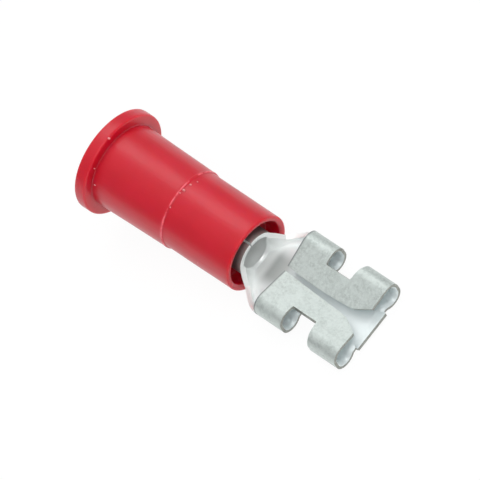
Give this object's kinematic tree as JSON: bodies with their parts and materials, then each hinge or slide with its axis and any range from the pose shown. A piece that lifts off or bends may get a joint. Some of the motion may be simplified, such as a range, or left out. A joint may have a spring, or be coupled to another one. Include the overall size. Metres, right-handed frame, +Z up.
{
  "type": "female spade terminal",
  "caption": "Insulated push-on crimp terminal: flanged plastic sleeve over a rolled barrel, scoop neck and a flat receptacle with rolled, windowed edges.",
  "frame": {"origin": "on the barrel's axis, at the sleeve's rear face where the wire goes in", "axes": "the part lies at rest: +X level, from the wire end towards the receptacle's mouth, with the barrel 11.9 degrees nose down from it; +Z up, the side on which the rolled edges close; +Y across the receptacle"},
  "size_m": [0.0204, 0.0066, 0.0079],
  "materials": {
    "sleeve": "satin red PVC",
    "plated_sheet": "matte tin plate over brass"
  },
  "bodies": {
    "root": {"insulating_sleeve": "sleeve", "terminal": "plated_sheet"}
  },
  "joints": []
}
